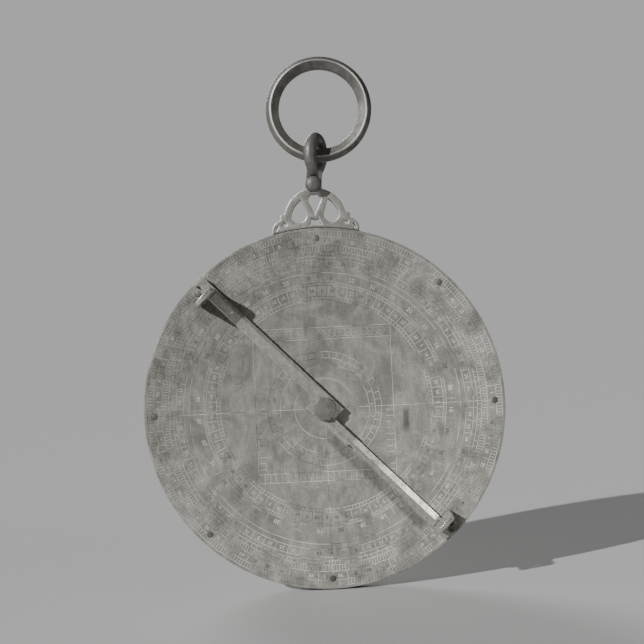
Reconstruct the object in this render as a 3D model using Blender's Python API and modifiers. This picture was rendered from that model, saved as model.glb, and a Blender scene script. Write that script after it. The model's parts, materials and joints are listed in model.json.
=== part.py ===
"""Astrolabe of the western Islamic type, seen from its back, as separate solids.

Frame: metres, +Z up, the back of the instrument faces -Y and the star map faces +Y.
The origin is where the suspension ring hangs: the highest point of the ring's inside,
in the middle of the instrument's thickness. Run with
    blender --background --python part.py
"""

import math

import bmesh
import bpy
from mathutils import Vector

MM = 0.001

# ---------------------------------------------------------------- driving dimensions
DISC_RADIUS = 90.0 * MM
BODY_DEPTH = 8.8 * MM
GAP = 0.3 * MM  # clearance that every pair of touching pieces keeps
LIMB_WIDTH = 10.4 * MM
BACK_THICKNESS = 2.0 * MM
PLATE_THICKNESS = 0.9 * MM
PLATE_COUNT = 4
RETE_THICKNESS = 1.4 * MM

RING_OUTER = 26.5 * MM
RING_INNER = 20.0 * MM
RING_HALF_DEPTH = 4.6 * MM
SUSPENSION_LEAN = math.radians(6.5)  # ring and shackle lean to +X, as the ring is held

PIVOT_HEIGHT = 111.6 * MM  # shackle pivot above the disc's centre
PIVOT_TO_RING = 38.2 * MM  # shackle pivot to the ring's centre
ALIDADE_ANGLE = math.radians(46.0)  # the arm at +X points this far below horizontal

PIN_RADIUS = 3.0 * MM
PIN_HOLE_RADIUS = 3.4 * MM
RIVET_COUNT = 8
RIVET_CIRCLE = 84.8 * MM

# ---------------------------------------------------------------- derived sizes
BACK_FACE = -BODY_DEPTH / 2
FRONT_FACE = BODY_DEPTH / 2
WOMB_RADIUS = DISC_RADIUS - LIMB_WIDTH
FIT_RADIUS = WOMB_RADIUS - 0.4 * MM  # plates and rete, inside the womb
LIMB_BACK = BACK_FACE + BACK_THICKNESS + GAP
RETE_BACK = LIMB_BACK + PLATE_COUNT * (PLATE_THICKNESS + GAP)
RETE_FRONT = RETE_BACK + RETE_THICKNESS

RING_CENTRE = Vector((0, 0, -RING_INNER))
SUSPENSION_AXIS = Vector((math.sin(SUSPENSION_LEAN), 0, math.cos(SUSPENSION_LEAN)))
PIVOT = RING_CENTRE - PIVOT_TO_RING * SUSPENSION_AXIS
DISC_CENTRE = PIVOT - Vector((0, 0, PIVOT_HEIGHT))
WIRE_RADIUS = (RING_OUTER + RING_INNER) / 2
WIRE_BOTTOM = RING_CENTRE - WIRE_RADIUS * SUSPENSION_AXIS

FINE = 96  # sides of the large circles
HOLE = 24  # sides of a bearing hole
SMALL = 12  # sides of a rivet or a small hole


# ---------------------------------------------------------------- scene and materials
def clear_scene():
    for obj in list(bpy.data.objects):
        bpy.data.objects.remove(obj, do_unlink=True)


def new_collection(name):
    collection = bpy.data.collections.new(name)
    bpy.context.scene.collection.children.link(collection)
    return collection


def metal(name, colour, roughness):
    material = bpy.data.materials.new(name)
    material.use_nodes = True
    shader = material.node_tree.nodes["Principled BSDF"]
    shader.inputs["Base Color"].default_value = (*colour, 1.0)
    shader.inputs["Roughness"].default_value = roughness
    shader.inputs["Metallic"].default_value = 1.0
    return material


def empty_at(name, point, lean=0.0):
    """A joint's axis point, which the pieces that turn about it are parented to."""
    empty = bpy.data.objects.new(name, None)
    parts.objects.link(empty)
    empty.location = point
    empty.rotation_euler = (0, lean, 0)
    return empty


def keep(obj, name, material, parent=None):
    """Names a finished piece, gives it its material and hangs it on its joint's empty."""
    obj.name = name
    obj.data.name = name
    obj.data.materials.clear()
    obj.data.materials.append(material)
    obj.parent = parent
    return obj


# ---------------------------------------------------------------- outlines in the XZ plane
def arc(centre, radius, start, end, steps):
    """Points on an arc, both ends included. Angles are in degrees, anticlockwise from +X."""
    points = []
    for i in range(steps + 1):
        angle = math.radians(start + (end - start) * i / steps)
        x = centre[0] + radius * math.cos(angle)
        z = centre[1] + radius * math.sin(angle)
        points.append((x, z))
    return points


def circle(centre, radius, sides):
    return arc(centre, radius, 0, 360, sides)[:-1]


def mirrored(points):
    """The same points at -X, in the opposite order, so that an outline goes on round."""
    return [(-x, z) for x, z in reversed(points)]


def turned_half(points):
    """The same points turned half way round the origin."""
    return [(-x, -z) for x, z in points]


def scaled(points):
    return [(x * MM, z * MM) for x, z in points]


def flat_piece(loops, back, front, collection=None):
    """A plate between two Y planes: the first loop is its outline and the others its holes."""
    curve = bpy.data.curves.new("outline", "CURVE")
    curve.dimensions = "2D"
    curve.fill_mode = "BOTH"
    curve.extrude = (front - back) / 2
    for loop in loops:
        spline = curve.splines.new("POLY")
        spline.points.add(len(loop) - 1)
        for point, (x, z) in zip(spline.points, loop):
            point.co = (x, z, 0, 1)
        spline.use_cyclic_u = True
    flat = bpy.data.objects.new("outline", curve)
    (collection or parts).objects.link(flat)
    solid = as_mesh(flat)
    for vertex in solid.data.vertices:
        x, z, depth = vertex.co
        vertex.co = (x, (front + back) / 2 - depth, z)
    return solid


def as_mesh(obj):
    """A curve object made a welded mesh, in the same place, so that it can be cut or joined."""
    bpy.context.view_layer.update()
    evaluated = obj.evaluated_get(bpy.context.evaluated_depsgraph_get())
    mesh = bpy.data.meshes.new_from_object(evaluated)
    made = bpy.data.objects.new(obj.name, mesh)
    obj.users_collection[0].objects.link(made)
    made.matrix_world = obj.matrix_world.copy()
    bpy.data.objects.remove(obj, do_unlink=True)
    shape = bmesh.new()
    shape.from_mesh(mesh)
    bmesh.ops.remove_doubles(shape, verts=shape.verts, dist=0.001 * MM)
    shape.to_mesh(mesh)
    shape.free()
    return made


def turned_piece(profile, sides, collection=None):
    """A solid of revolution about the Y axis. The profile is (radius, y) pairs, which start
    and end on the axis, and run from the highest y down."""
    mesh = bpy.data.meshes.new("profile")
    points = [(radius, 0, y) for radius, y in profile]
    edges = [(i, i + 1) for i in range(len(points) - 1)]
    mesh.from_pydata(points, edges, [])
    obj = bpy.data.objects.new("turned", mesh)
    (collection or parts).objects.link(obj)
    screw = obj.modifiers.new("Screw", "SCREW")
    screw.steps = sides
    screw.render_steps = sides
    screw.use_merge_vertices = True
    screw.merge_threshold = 0.00001
    solid = as_mesh(obj)
    for vertex in solid.data.vertices:
        x, z, y = vertex.co
        vertex.co = (x, y, z)
    outwards(solid)
    return solid


def outwards(obj):
    shape = bmesh.new()
    shape.from_mesh(obj.data)
    bmesh.ops.remove_doubles(shape, verts=shape.verts, dist=0.001 * MM)
    bmesh.ops.recalc_face_normals(shape, faces=shape.faces)
    shape.to_mesh(obj.data)
    shape.free()


def combine(obj, others, operation):
    """Applies one Boolean for each other object, and removes it."""
    for other in others:
        other.hide_render = True
        other.display_type = "WIRE"
        boolean = obj.modifiers.new("Boolean", "BOOLEAN")
        boolean.operation = operation
        boolean.solver = "EXACT"
        boolean.object = other
        bpy.context.view_layer.update()
        evaluated = obj.evaluated_get(bpy.context.evaluated_depsgraph_get())
        mesh = bpy.data.meshes.new_from_object(evaluated)
        obj.modifiers.clear()
        obj.data = mesh
        bpy.data.objects.remove(other, do_unlink=True)
    return obj


def rivet_points():
    return [
        (RIVET_CIRCLE * math.cos(turn), RIVET_CIRCLE * math.sin(turn))
        for turn in (2 * math.pi * i / RIVET_COUNT for i in range(RIVET_COUNT))
    ]


# ---------------------------------------------------------------- the mater
def make_back_plate():
    """The engraved back: a flat disc with the pin's hole and a seat for each rivet head."""
    seat_radius = 1.9 * MM
    loops = [circle((0, 0), DISC_RADIUS, FINE), circle((0, 0), PIN_HOLE_RADIUS, HOLE)]
    loops += [circle(point, seat_radius, SMALL) for point in rivet_points()]
    plate = flat_piece(loops, BACK_FACE, BACK_FACE + BACK_THICKNESS)
    return keep(plate, "back_plate", brass, disc)


def make_limb_ring():
    """The raised rim round the womb, with the notch that holds the plates' lugs."""
    half_notch = math.degrees(math.asin(2.5 * MM / WOMB_RADIUS))
    notch_depth = 3.0 * MM
    inner = arc((0, 0), WOMB_RADIUS, 90 + half_notch, 450 - half_notch, FINE)
    inner += arc((0, 0), WOMB_RADIUS + notch_depth, 90 - half_notch, 90 + half_notch, 2)
    loops = [circle((0, 0), DISC_RADIUS, FINE), inner]
    loops += [circle(point, 1.25 * MM, SMALL) for point in rivet_points()]
    return keep(flat_piece(loops, LIMB_BACK, FRONT_FACE), "limb_ring", brass, disc)


def make_limb_rivets():
    """Rivets through the back plate and the limb, hammered flush on both faces."""
    head_radius = 1.6 * MM
    shank_radius = 0.95 * MM
    head_end = BACK_FACE + BACK_THICKNESS
    profile = [
        (0, FRONT_FACE),
        (shank_radius, FRONT_FACE),
        (shank_radius, head_end),
        (head_radius, head_end),
        (head_radius, BACK_FACE),
        (0, BACK_FACE),
    ]
    for number, (x, z) in enumerate(rivet_points(), start=1):
        rivet = turned_piece(profile, SMALL)
        rivet.location = (x, 0, z)
        keep(rivet, f"limb_rivet_{number}", copper, disc)


def throne_outline():
    """Rim saddle, side lobe, tooth, round shoulder and the pivot's lug, then the other side."""
    saddle_radius = DISC_RADIUS / MM + GAP / MM
    saddle = arc((0, 0), saddle_radius, 103.6, 76.4, 10)
    lobe = arc((15.9, 88.8), 5.9, -10, 72, 6)
    tooth = [(17.0, 95.1), (17.3, 96.6), (16.3, 97.4)]
    shoulder = arc((0, 94.5), 15.4, 12, 77, 10)
    lug = arc((0, PIVOT_HEIGHT / MM), 3.9, -32, 90, 7)
    right = lobe + tooth + shoulder + lug
    return scaled(saddle + right + mirrored(right)[1:])


def throne_openings():
    """The pierced tracery: a hanging drop, two leaves, a foot opening and two pinholes."""
    drop = arc((0, 104.4), 3.2, -28, 208, 12) + [(0, 97.0)]
    leaf = arc((0, 94.5), 12.2, 57, 12, 6) + arc((8.2, 96.7), 3.9, -4, -205, 12)
    foot = [(-3.2, 91.6), (3.2, 91.6), (2.3, 93.4), (2.0, 95.2)]
    foot += [(0, 94.2), (-2.0, 95.2), (-2.3, 93.4)]
    pinhole = circle((15.1, 92.0), 0.95, 10)
    pivot_hole = circle((0, PIVOT_HEIGHT / MM), 1.85, 16)
    loops = [drop, leaf, mirrored(leaf), foot, pinhole, mirrored(pinhole), pivot_hole]
    return [scaled(loop) for loop in loops]


def make_throne():
    """The pierced crown that the suspension hangs from, seated on the rim."""
    loops = [throne_outline()] + throne_openings()
    return keep(flat_piece(loops, BACK_FACE, FRONT_FACE), "throne", brass, disc)


def make_plates():
    """The plates for different latitudes, each kept from turning by a lug at the top."""
    half_lug = math.degrees(math.asin(2.1 * MM / FIT_RADIUS))
    lug_height = 2.8 * MM
    for number in range(PLATE_COUNT):
        outline = arc((0, 0), FIT_RADIUS, 90 + half_lug, 450 - half_lug, 72)
        outline += arc((0, 0), FIT_RADIUS + lug_height, 90 - half_lug, 90 + half_lug, 2)
        back = LIMB_BACK + number * (PLATE_THICKNESS + GAP)
        loops = [outline, circle((0, 0), PIN_HOLE_RADIUS, HOLE)]
        plate = flat_piece(loops, back, back + PLATE_THICKNESS)
        keep(plate, f"latitude_plate_{number + 1}", brass, disc)


# ---------------------------------------------------------------- the rete
ECLIPTIC_OFFSET = 0.2845  # centre of the ecliptic, as a share of the rete's radius
ECLIPTIC_RADIUS = 0.7015  # its radius, for an obliquity of 23.4 degrees, less half the rim
EQUATOR_RADIUS = 0.6565
KNOB_POINTS = [(-66.0, 0), (66.0, 0), (-36.2, -36.2), (36.2, -36.2)]


def band(centre, outer, inner, start, end, steps):
    """An arched strip between two radii."""
    return arc(centre, outer, start, end, steps) + arc(centre, inner, end, start, steps)


def pointer(root, direction, length, width, curl):
    """A dagger-shaped star pointer that grows from root and curls to one side."""
    heading = math.radians(direction)
    sides = ([], [])
    for i in range(5):
        share = i / 5
        turn = heading + math.radians(curl) * share
        x = root[0] + length * share * math.cos(turn)
        z = root[1] + length * share * math.sin(turn)
        half = width * (0.5 + 0.35 * math.sin(math.pi * share)) * (1 - share * share)
        sides[0].append((x - half * math.sin(turn), z + half * math.cos(turn)))
        sides[1].append((x + half * math.sin(turn), z - half * math.cos(turn)))
    tip = heading + math.radians(curl)
    end = (root[0] + length * math.cos(tip), root[1] + length * math.sin(tip))
    return sides[1] + [end] + sides[0][::-1]


def on_circle(centre, radius, angle):
    turn = math.radians(angle)
    return (centre[0] + radius * math.cos(turn), centre[1] + radius * math.sin(turn))


def rete_frame(outer):
    """The rings and bars of the star map, in millimetres, each a little thinner than the last
    so that their faces stay apart where they cross."""
    centre = (0, 0)
    high = (0, ECLIPTIC_OFFSET * outer)
    ecliptic = ECLIPTIC_RADIUS * outer
    equator = EQUATOR_RADIUS * outer
    frame = [
        [circle(high, ecliptic, 72), circle(high, ecliptic - 5.2, 72)],
        [band(centre, equator + 1.6, equator - 1.6, 196, 344, 30)],
        [circle(centre, 8.0, 24)],
        [[(-77.5, -1.9), (-6, -1.9), (-6, 1.9), (-77.5, 1.9)]],
        [[(6, -1.9), (77.5, -1.9), (77.5, 1.9), (6, 1.9)]],
        [[(-1.5, 5.5), (1.5, 5.5), (1.5, 75), (-1.5, 75)]],
        [[(-1.5, -77.5), (1.5, -77.5), (1.5, -5.5), (-1.5, -5.5)]],
    ]
    for angle in (222, 318):
        turn = math.radians(angle)
        across = (1.4 * math.sin(turn), -1.4 * math.cos(turn))
        near = on_circle(centre, equator - 0.5, angle)
        far = on_circle(centre, outer - 2, angle)
        frame.append(
            [
                [
                    (near[0] + across[0], near[1] + across[1]),
                    (far[0] + across[0], far[1] + across[1]),
                    (far[0] - across[0], far[1] - across[1]),
                    (near[0] - across[0], near[1] - across[1]),
                ]
            ]
        )
    return frame


def rete_pointers(outer):
    """Star pointers: on the ecliptic's outside and inside, on the equator arc and the rim."""
    high = (0, ECLIPTIC_OFFSET * outer)
    ecliptic = ECLIPTIC_RADIUS * outer
    equator = EQUATOR_RADIUS * outer
    made = []
    for angle, length, curl in ((-28, 15, 38), (8, 11, -30), (172, 12, 32), (208, 15, -38)):
        root = on_circle(high, ecliptic - 1.5, angle)
        made.append(pointer(root, angle, length, 4.2, curl))
    for angle, length, curl in ((-62, 17, 40), (28, 18, 34), (62, 15, -36)):
        root = on_circle(high, ecliptic - 4.0, angle)
        made.append(pointer(root, angle + 180, length, 4.4, curl))
    for angle, length, curl in ((118, 15, 36), (150, 18, -34), (242, 17, -40)):
        root = on_circle(high, ecliptic - 4.0, angle)
        made.append(pointer(root, angle + 180, length, 4.4, curl))
    for angle, length, curl in ((205, 14, 30), (255, 14, -34), (285, 14, 34), (335, 14, -30)):
        root = on_circle((0, 0), equator + 0.6, angle)
        made.append(pointer(root, angle, length, 4.2, curl))
    for angle, length, curl in ((236, 13, 34), (304, 13, -34)):
        root = on_circle((0, 0), outer - 2.0, angle)
        made.append(pointer(root, angle + 180, length, 4.2, curl))
    return made


def make_rete():
    """The pierced star map, which turns on the pin inside the womb."""
    outer = FIT_RADIUS / MM
    rim = [scaled(circle((0, 0), outer, FINE)), scaled(circle((0, 0), outer - 3.2, 72))]
    rete = flat_piece(rim, RETE_BACK, RETE_FRONT)
    shapes = rete_frame(outer) + [[shape] for shape in rete_pointers(outer)]
    joined = []
    for number, loops in enumerate(shapes):
        inset = (0.02 + 0.012 * number) * MM
        loops = [scaled(loop) for loop in loops]
        joined.append(flat_piece(loops, RETE_BACK + inset, RETE_FRONT - inset, cutters))
    combine(rete, joined, "UNION")
    through = 1.0 * MM
    holes = [circle((0, 0), PIN_HOLE_RADIUS, HOLE)]
    holes += [circle((x * MM, z * MM), 1.15 * MM, SMALL) for x, z in KNOB_POINTS]
    drills = [
        flat_piece([hole], RETE_BACK - through, RETE_FRONT + through, cutters)
        for hole in holes
    ]
    combine(rete, drills, "DIFFERENCE")
    return keep(rete, "rete", brass, disc)


def make_rete_knobs():
    """Small turned knobs that the rete is moved by, each riveted through it."""
    base = RETE_FRONT + GAP
    profile = [
        (0, base + 3.0 * MM),
        (0.9 * MM, base + 2.8 * MM),
        (1.5 * MM, base + 2.1 * MM),
        (1.0 * MM, base + 1.1 * MM),
        (1.9 * MM, base + 0.4 * MM),
        (1.9 * MM, base),
        (0.85 * MM, base),
        (0.85 * MM, RETE_BACK + 0.2 * MM),
        (0, RETE_BACK + 0.2 * MM),
    ]
    for number, (x, z) in enumerate(KNOB_POINTS, start=1):
        knob = turned_piece(profile, SMALL)
        knob.location = (x * MM, 0, z * MM)
        keep(knob, f"rete_knob_{number}", silver, disc)


# ---------------------------------------------------------------- the alidade
BAR_BACK = BACK_FACE - GAP
BAR_THICKNESS = 3.0 * MM
BAR_FACE = BAR_BACK - BAR_THICKNESS
VANE_RADIUS = 80.2  # millimetres from the pin to the middle of a sighting vane
VANE_THICKNESS = 2.4
VANE_HALF_WIDTH = 5.6
VANE_TOP = BACK_FACE - 17.0 * MM


def alidade_arm():
    """The straight reading edge of an arm, on the line through the pin, and its tip."""
    bite = arc((86.1, 0), 1.9, 180, 360, 8)
    return [(7.0, 0)] + bite + [(88.9, 0), (88.4, -3.2), (87.6, -6.4)]


def make_alidade_bar():
    """The counter-changed rule: each arm lies on its own side of the reading line. The lower
    arm is drawn in to a waist between its hub and its vane, and the upper arm is straight."""
    arm = alidade_arm()
    waist = [(65.0, -6.4), (62.5, -5.9), (60.0, -4.8), (57.5, -4.6), (20.6, -4.6), (20.0, -5.9)]
    outline = [(7.0, 6.4)] + arm + waist + [(-7.0, -5.9)] + turned_half(arm)
    loops = [scaled(outline), circle((0, 0), PIN_HOLE_RADIUS, HOLE)]
    bar = flat_piece(loops, BAR_FACE, BAR_BACK)
    slots = []
    for side in (1, -1):
        near = VANE_RADIUS - VANE_THICKNESS / 2 - GAP / MM
        far = VANE_RADIUS + VANE_THICKNESS / 2 + GAP / MM
        tenon = [(near, -1.4), (far, -1.4), (far, -5.2), (near, -5.2)]
        slot = tenon if side == 1 else turned_half(tenon)
        reach = 1.0 * MM
        slots.append(flat_piece([scaled(slot)], BAR_FACE - reach, BAR_BACK + reach, cutters))
    combine(bar, slots, "DIFFERENCE")
    bar.rotation_euler = (0, ALIDADE_ANGLE, 0)
    return keep(bar, "alidade_bar", brass, disc)


def make_vane(name, half_turn):
    """A sighting vane: a thick upright plate with two sight holes. It sits on its arm with a
    tenon, and on the other side of the reading line it reaches down beside the arm."""
    seat = BAR_FACE - GAP
    foot = BACK_FACE - 0.5 * MM
    tenon_end = BAR_BACK - 0.2 * MM
    width = VANE_HALF_WIDTH * MM
    outline = [
        (-width, VANE_TOP + 0.8 * MM),
        (-width + 0.8 * MM, VANE_TOP),
        (width - 0.8 * MM, VANE_TOP),
        (width, VANE_TOP + 0.8 * MM),
        (width, foot),
        (0.3 * MM, foot),
        (0.3 * MM, seat),
        (-1.7 * MM, seat),
        (-1.7 * MM, tenon_end),
        (-4.9 * MM, tenon_end),
        (-4.9 * MM, seat),
        (-width, seat),
    ]
    sights = [
        circle((0, VANE_TOP + 3.2 * MM), 1.2 * MM, SMALL),
        circle((0, VANE_TOP + 7.4 * MM), 0.7 * MM, SMALL),
    ]
    half = VANE_THICKNESS / 2 * MM
    vane = flat_piece([outline] + sights, -half, half)
    for vertex in vane.data.vertices:
        across, thick, depth = vertex.co
        vertex.co = (VANE_RADIUS * MM + thick, depth, across)
    outwards(vane)
    vane.rotation_euler = (0, ALIDADE_ANGLE + (math.pi if half_turn else 0), 0)
    return keep(vane, name, brass, disc)


# ---------------------------------------------------------------- pin, washer and horse
HEAD_BACK = BAR_FACE - GAP
HEAD_THICKNESS = 1.9 * MM
WASHER_BACK = RETE_FRONT + GAP
WASHER_THICKNESS = 0.9 * MM
SLOT_BACK = WASHER_BACK + WASHER_THICKNESS + 0.1 * MM
SLOT_FRONT = SLOT_BACK + 3.4 * MM
PIN_END = SLOT_FRONT + 2.0 * MM


def make_pin():
    """The pin that everything turns on: an eight-sided head, a shaft and the horse's slot."""
    head_face = HEAD_BACK - HEAD_THICKNESS
    shaft = turned_piece(
        [
            (0, PIN_END),
            (PIN_RADIUS - 0.5 * MM, PIN_END),
            (PIN_RADIUS, PIN_END - 0.6 * MM),
            (PIN_RADIUS, HEAD_BACK - 0.5 * MM),
            (0, HEAD_BACK - 0.5 * MM),
        ],
        HOLE,
    )
    head = turned_piece(
        [
            (0, HEAD_BACK),
            (5.9 * MM, HEAD_BACK),
            (5.9 * MM, head_face + 0.5 * MM),
            (5.3 * MM, head_face),
            (0, head_face),
        ],
        8,
        cutters,
    )
    head.rotation_euler = (0, math.radians(22.5), 0)
    combine(shaft, [head], "UNION")
    half_slot = 1.15 * MM
    reach = 6.0 * MM
    slot = [(-reach, -half_slot), (reach, -half_slot), (reach, half_slot), (-reach, half_slot)]
    combine(shaft, [flat_piece([slot], SLOT_BACK, SLOT_FRONT, cutters)], "DIFFERENCE")
    return keep(shaft, "pin", brass, disc)


def make_washer():
    """The collar between the rete and the horse."""
    loops = [circle((0, 0), 6.5 * MM, HOLE), circle((0, 0), PIN_HOLE_RADIUS, HOLE)]
    washer = flat_piece(loops, WASHER_BACK, WASHER_BACK + WASHER_THICKNESS)
    return keep(washer, "washer", brass, disc)


def make_horse():
    """The wedge through the pin's slot, its thick end cut as a plain horse's head."""
    base = SLOT_BACK / MM + 0.3
    outline = [
        (-9.5, base),
        (12.5, base),
        (13.6, base + 0.9),
        (13.2, base + 2.2),
        (12.4, base + 3.0),
        (13.9, base + 4.3),
        (15.6, base + 4.5),
        (15.9, base + 5.4),
        (13.4, base + 6.7),
        (12.2, base + 7.9),
        (11.7, base + 6.8),
        (10.0, base + 5.6),
        (8.4, base + 3.6),
        (5.4, base + 2.9),
        (4.0, base + 2.6),
        (-9.5, base + 1.3),
    ]
    half = 0.85 * MM
    horse = flat_piece([scaled(outline)], -half, half)
    for vertex in horse.data.vertices:
        x, thick, y = vertex.co
        vertex.co = (x, y, thick)
    outwards(horse)
    return keep(horse, "horse_wedge", brass, disc)


# ---------------------------------------------------------------- the suspension
def make_shackle():
    """The bow that joins ring and throne: a thick, slightly twisted loop with two eyes.
    A leg's points are (across, depth, height) from the pivot, with the wire's radius."""
    leg = [
        (0.0, 5.95, 1.2, 1.15),
        (0.3, 5.95, 4.2, 1.15),
        (1.0, 7.7, 6.9, 2.5),
        (2.2, 9.0, 11.0, 3.0),
        (2.8, 9.2, 15.5, 3.2),
        (2.3, 7.4, 20.0, 3.2),
        (1.2, 4.0, 22.9, 2.9),
    ]
    other_leg = [(-across, -depth, height, radius) for across, depth, height, radius in leg]
    path = leg + [(0.0, 0.0, 23.7, 2.8)] + other_leg[::-1]
    curve = bpy.data.curves.new("bow", "CURVE")
    curve.dimensions = "3D"
    curve.bevel_depth = MM
    curve.bevel_resolution = 3
    curve.use_fill_caps = True
    curve.resolution_u = 3
    spline = curve.splines.new("BEZIER")
    spline.bezier_points.add(len(path) - 1)
    for point, (across, depth, height, radius) in zip(spline.bezier_points, path):
        point.co = (across * MM, depth * MM, height * MM)
        point.radius = radius
        point.handle_left_type = "AUTO"
        point.handle_right_type = "AUTO"
    bow = bpy.data.objects.new("bow", curve)
    parts.objects.link(bow)
    bow = as_mesh(bow)
    outwards(bow)
    inner = FRONT_FACE + GAP
    outer = inner + 2.5 * MM
    eyes = [
        flat_piece([circle((0, 0), 4.1 * MM, HOLE)], inner, outer, cutters),
        flat_piece([circle((0, 0), 4.1 * MM, HOLE)], -outer, -inner, cutters),
    ]
    combine(bow, eyes, "UNION")
    hole = flat_piece([circle((0, 0), 1.85 * MM, 16)], -20 * MM, 20 * MM, cutters)
    combine(bow, [hole], "DIFFERENCE")
    bow.location = (0, 0, -(PIVOT_TO_RING - WIRE_RADIUS))
    return keep(bow, "shackle", bronze, shackle_axis)


def make_pivot_pin():
    """The rivet through the shackle's eyes and the throne's lug, with two domed heads."""
    head = FRONT_FACE + GAP + 2.5 * MM + GAP
    dome = [(0, head + 2.0 * MM), (1.8 * MM, head + 1.7 * MM), (3.2 * MM, head + 0.9 * MM)]
    side = dome + [(4.0 * MM, head), (1.5 * MM, head)]
    profile = side + [(radius, -y) for radius, y in reversed(side)]
    pin = turned_piece(profile, 16)
    pin.location = (0, 0, -(PIVOT_TO_RING - WIRE_RADIUS))
    return keep(pin, "pivot_pin", bronze, shackle_axis)


def make_ring():
    """The suspension ring, of a keeled section: two slopes that meet in a ridge each side."""
    keel_out = 2.35 * MM  # how far the ridge lies inside the outer edge
    keel_flat = 0.6 * MM
    outer_edge = 0.8 * MM
    inner_edge = 1.2 * MM
    front_half = [
        (RING_OUTER, outer_edge),
        (RING_OUTER - keel_out, RING_HALF_DEPTH),
        (RING_OUTER - keel_out - keel_flat, RING_HALF_DEPTH),
        (RING_INNER, inner_edge),
    ]
    back_half = [(radius, -y) for radius, y in reversed(front_half)]
    profile = front_half + back_half + front_half[:1]
    ring = turned_piece(profile, 64)
    ring.location = RING_CENTRE
    ring.rotation_euler = (0, SUSPENSION_LEAN, 0)
    return keep(ring, "suspension_ring", bronze)


# ---------------------------------------------------------------- build
clear_scene()
parts = new_collection("astrolabe")
cutters = new_collection("cutters")
brass = metal("worn brass", (0.42, 0.40, 0.36), 0.42)
copper = metal("copper rivet", (0.20, 0.18, 0.16), 0.5)
bronze = metal("dark bronze", (0.22, 0.21, 0.19), 0.38)
silver = metal("silver", (0.62, 0.61, 0.58), 0.35)

shackle_axis = empty_at("shackle_axis", WIRE_BOTTOM, SUSPENSION_LEAN)
disc = empty_at("disc_axis", DISC_CENTRE)

make_back_plate()
make_limb_ring()
make_limb_rivets()
make_throne()
make_plates()
make_rete()
make_rete_knobs()
make_alidade_bar()
make_vane("sighting_vane_lower", False)
make_vane("sighting_vane_upper", True)
make_pin()
make_washer()
make_horse()
make_shackle()
make_pivot_pin()
make_ring()

for piece in parts.objects:
    if piece.type == "MESH":
        piece.data.shade_smooth()
        piece.data.set_sharp_from_angle(angle=math.radians(35))
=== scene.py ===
# %% [markdown]
# An astrolabe is a stack of discs in a shallow brass dish, hung from a ring. We start
# from the finished mechanism, which is loaded as a frame: every solid is already in its
# true place. The work here is the engraver's and the finisher's: cut scales, bevelled
# edges, pierced tracery and old metal.

# %% Load the frame
import json
import math

import bpy
from mathutils import Euler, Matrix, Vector


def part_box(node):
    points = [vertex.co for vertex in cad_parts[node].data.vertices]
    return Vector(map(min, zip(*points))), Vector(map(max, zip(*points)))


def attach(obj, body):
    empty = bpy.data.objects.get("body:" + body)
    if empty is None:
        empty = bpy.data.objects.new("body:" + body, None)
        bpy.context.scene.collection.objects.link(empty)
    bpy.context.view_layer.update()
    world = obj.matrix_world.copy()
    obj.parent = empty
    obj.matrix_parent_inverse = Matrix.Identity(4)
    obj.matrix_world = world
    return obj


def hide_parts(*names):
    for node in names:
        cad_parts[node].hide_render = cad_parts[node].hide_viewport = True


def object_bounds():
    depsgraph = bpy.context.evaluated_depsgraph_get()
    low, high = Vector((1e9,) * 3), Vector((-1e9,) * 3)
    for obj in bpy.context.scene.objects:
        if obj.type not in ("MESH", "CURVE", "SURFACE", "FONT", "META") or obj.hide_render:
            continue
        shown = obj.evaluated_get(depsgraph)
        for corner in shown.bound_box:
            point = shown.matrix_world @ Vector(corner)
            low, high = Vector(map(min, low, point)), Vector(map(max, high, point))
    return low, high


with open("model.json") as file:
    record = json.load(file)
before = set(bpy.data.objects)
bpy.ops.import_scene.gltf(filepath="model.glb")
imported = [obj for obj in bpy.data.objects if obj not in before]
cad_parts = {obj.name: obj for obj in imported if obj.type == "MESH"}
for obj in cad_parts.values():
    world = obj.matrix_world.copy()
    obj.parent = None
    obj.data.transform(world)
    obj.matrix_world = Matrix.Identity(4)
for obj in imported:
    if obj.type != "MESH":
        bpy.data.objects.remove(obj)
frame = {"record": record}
cad_low, cad_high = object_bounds()
MM = 0.001

# %% [markdown]
# Everything is placed from the frame. The back plate gives the centre and the radius of
# the instrument, and the joints give the shackle's pivot and the ring's lean.

# %% Read the main places
JOINTS = {joint["name"]: joint for joint in frame["record"]["behaviour"]["joints"]}
PIVOT = Vector(JOINTS["shackle_pivot"]["pos_m"])
CENTRE = Vector(JOINTS["alidade_turn"]["pos_m"])
WIRE = Vector(JOINTS["ring_swing"]["pos_m"])
LEAN = math.atan2(WIRE.x - PIVOT.x, WIRE.z - PIVOT.z)
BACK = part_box("back_plate")[0][1]
BACK_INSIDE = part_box("back_plate")[1][1]
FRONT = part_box("limb_ring")[1][1]
LIMB_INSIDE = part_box("limb_ring")[0][1]
RADIUS = (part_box("back_plate")[1][0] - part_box("back_plate")[0][0]) / 2
BACK_HOME = (CENTRE.x, BACK, CENTRE.z)
ARM_ANGLE = math.radians(-46.0)
print("disc", round(RADIUS / MM, 1), "mm in radius, lean", round(math.degrees(LEAN), 1))

# %% [markdown]
# Helpers for bench work. Each piece is made lying on the bench, face up, round the
# world's origin. When it is done it is stood up and moved home, and its place is applied,
# so that its object sits at the origin with its place in its mesh.


# %% Bench helpers
def only(*objects):
    """Selects these objects alone. The first becomes the active one."""
    bpy.ops.object.select_all(action="DESELECT")
    for obj in objects:
        obj.select_set(True)
    bpy.context.view_layer.objects.active = objects[0]


def apply_place(obj):
    only(obj)
    bpy.ops.object.transform_apply(location=True, rotation=True, scale=True)
    return obj


def apply_modifiers(obj):
    only(obj)
    for name in [modifier.name for modifier in obj.modifiers]:
        bpy.ops.object.modifier_apply(modifier=name)
    return obj


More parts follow.
